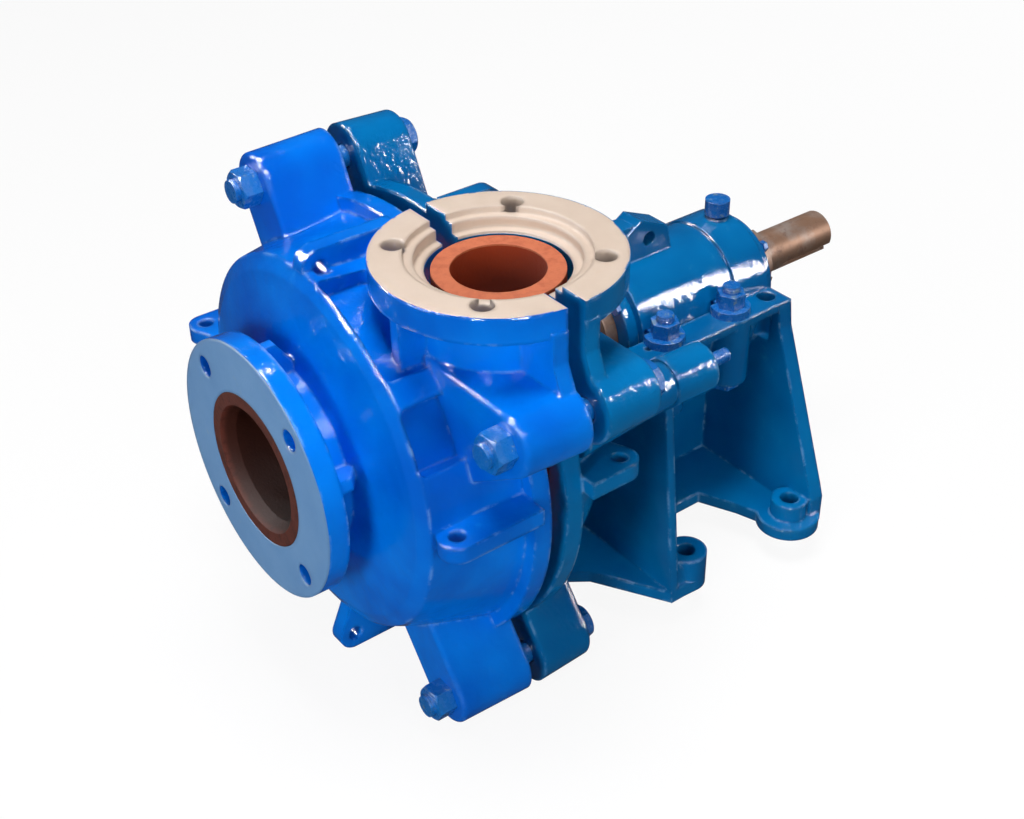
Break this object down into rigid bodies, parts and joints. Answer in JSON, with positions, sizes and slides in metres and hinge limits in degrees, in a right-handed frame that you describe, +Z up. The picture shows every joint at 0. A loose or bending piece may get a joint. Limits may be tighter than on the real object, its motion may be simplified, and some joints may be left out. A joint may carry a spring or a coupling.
{
  "type": "slurry pump",
  "caption": "Horizontal centrifugal slurry pump with a vertically split lined casing, split discharge flange, cast base and adjustable bearing housing.",
  "frame": {"origin": "centre of the four foot holes, on the underside of the base", "axes": "+X along the shaft, from the suction flange to the drive end; +Z up, as the discharge flange faces; the discharge is on the -Y side"},
  "size_m": [0.667, 0.487, 0.4565],
  "materials": {
    "blue_enamel": "glossy enamel over a rough casting",
    "painted_steel": "glossy enamel, worn on the edges",
    "red_oxide_liner": "matt primer",
    "white_iron": "cast",
    "grey_iron": "machined",
    "bare_steel": "turned, with light rust",
    "bronze": "machined",
    "packing": "braided, greased"
  },
  "bodies": {
    "pump_base": {"base_frame": "blue_enamel", "frame_plate": "blue_enamel", "cover_plate": "blue_enamel", "casing_bolts": "painted_steel", "casing_nuts": "painted_steel", "volute_liner": "red_oxide_liner", "throat_bush": "red_oxide_liner", "back_liner": "red_oxide_liner", "stuffing_box": "grey_iron", "neck_ring": "bronze", "lantern_ring": "bronze", "packing_rings": "packing", "gland_halves": "grey_iron", "gland_studs": "bare_steel", "gland_nuts": "bare_steel", "frame_studs": "painted_steel", "frame_stud_nuts": "painted_steel", "clamp_bolts": "painted_steel", "clamp_washers": "painted_steel", "clamp_nuts": "painted_steel", "adjusting_screw": "painted_steel", "screw_lock_nut": "painted_steel"},
    "bearing_assembly": {"bearing_housing": "blue_enamel", "front_end_cover": "blue_enamel", "rear_end_cover": "blue_enamel", "cover_shims": "bare_steel", "end_cover_screws": "painted_steel", "front_outer_race": "bare_steel", "rear_outer_race": "bare_steel", "grease_neck": "blue_enamel"},
    "rotor": {"impeller": "white_iron", "shaft": "bare_steel", "shaft_sleeve": "bare_steel", "front_labyrinth": "bare_steel", "rear_labyrinth": "bare_steel", "bearing_lock_nut": "bare_steel", "front_inner_race": "bare_steel", "rear_inner_race": "bare_steel"},
    "front_roller_set": {"front_rollers": "bare_steel", "front_cage": "bronze"},
    "rear_roller_set": {"rear_rollers": "bare_steel", "rear_cage": "bronze"},
    "adjusters": {"adjusting_nuts": "painted_steel"},
    "cap": {"grease_cap": "blue_enamel"}
  },
  "joints": [
    {"name": "housing_slide", "type": "slide", "parent": "pump_base", "child": "bearing_assembly", "axis": [1, 0, 0], "range_m": [-0.0015, 0.003]},
    {"name": "nut_turn", "type": "hinge", "parent": "bearing_assembly", "child": "adjusters", "pos_m": [0.123, 0, 0.134], "axis": [1, 0, 0], "range_deg": [-216, 432]},
    {"name": "rotor_spin", "type": "hinge", "parent": "bearing_assembly", "child": "rotor", "pos_m": [0, 0, 0.216], "axis": [1, 0, 0], "continuous": true},
    {"name": "front_cage_spin", "type": "hinge", "parent": "bearing_assembly", "child": "front_roller_set", "pos_m": [-0.032, 0, 0.216], "axis": [1, 0, 0], "continuous": true},
    {"name": "rear_cage_spin", "type": "hinge", "parent": "bearing_assembly", "child": "rear_roller_set", "pos_m": [0.072, 0, 0.216], "axis": [1, 0, 0], "continuous": true},
    {"name": "cap_turn", "type": "hinge", "parent": "bearing_assembly", "child": "cap", "pos_m": [0.0855, 0, 0.291], "axis": [0, 0, 1], "range_deg": [0, 540]}
  ],
  "couplings": [
    {"joint": "nut_turn", "follows": "housing_slide", "rad_per_m": 2513.3},
    {"joint": "front_cage_spin", "follows": "rotor_spin", "ratio": 0.4423},
    {"joint": "rear_cage_spin", "follows": "rotor_spin", "ratio": 0.4423}
  ]
}
